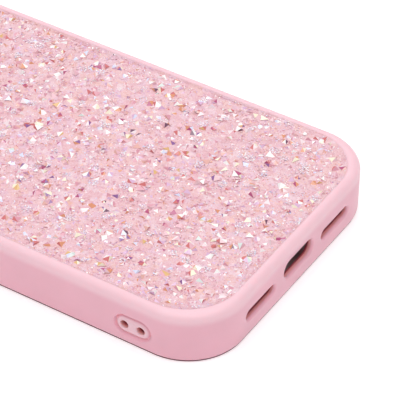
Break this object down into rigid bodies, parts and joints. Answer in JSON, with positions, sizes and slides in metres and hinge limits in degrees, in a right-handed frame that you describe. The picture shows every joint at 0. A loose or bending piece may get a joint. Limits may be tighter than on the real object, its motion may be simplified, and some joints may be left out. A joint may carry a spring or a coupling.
{
  "type": "phone case",
  "caption": "Slim protective phone case: soft bumper frame with port, speaker, switch and lanyard openings, pressable button caps and a stone-covered laminated back.",
  "frame": {"origin": "middle of the case, in the plane that the front lip rests on", "axes": "+Z out of the stone-covered back, +Y to the top end of the phone, so the charging port is at -Y and the lanyard holes are at -X"},
  "size_m": [0.0764, 0.1508, 0.0138],
  "materials": {
    "soft_plastic": "matt, soft to the touch, pale pink",
    "button_plastic": "matt pale pink",
    "clear_plate": "smooth, tinted pale pink",
    "adhesive": "clear, milky",
    "foil": "satin metallised film, pink",
    "crystal": "polished facets, pink and iridescent"
  },
  "bodies": {
    "case": {"bumper_frame": "soft_plastic", "back_plate": "clear_plate", "adhesive_sheet": "adhesive", "carrier_foil": "foil", "crystal_sheet": "crystal", "camera_bezel": "soft_plastic"},
    "power_button": {"power_button": "button_plastic"},
    "volume_up_button": {"volume_up_button": "button_plastic"},
    "volume_down_button": {"volume_down_button": "button_plastic"}
  },
  "joints": [
    {"name": "power_press", "type": "slide", "parent": "case", "child": "power_button", "axis": [1, 0, 0], "range_m": [0, 0.0004], "stiffness_N_per_m": 1500},
    {"name": "volume_up_press", "type": "slide", "parent": "case", "child": "volume_up_button", "axis": [-1, 0, 0], "range_m": [0, 0.0004], "stiffness_N_per_m": 1500},
    {"name": "volume_down_press", "type": "slide", "parent": "case", "child": "volume_down_button", "axis": [-1, 0, 0], "range_m": [0, 0.0004], "stiffness_N_per_m": 1500}
  ]
}
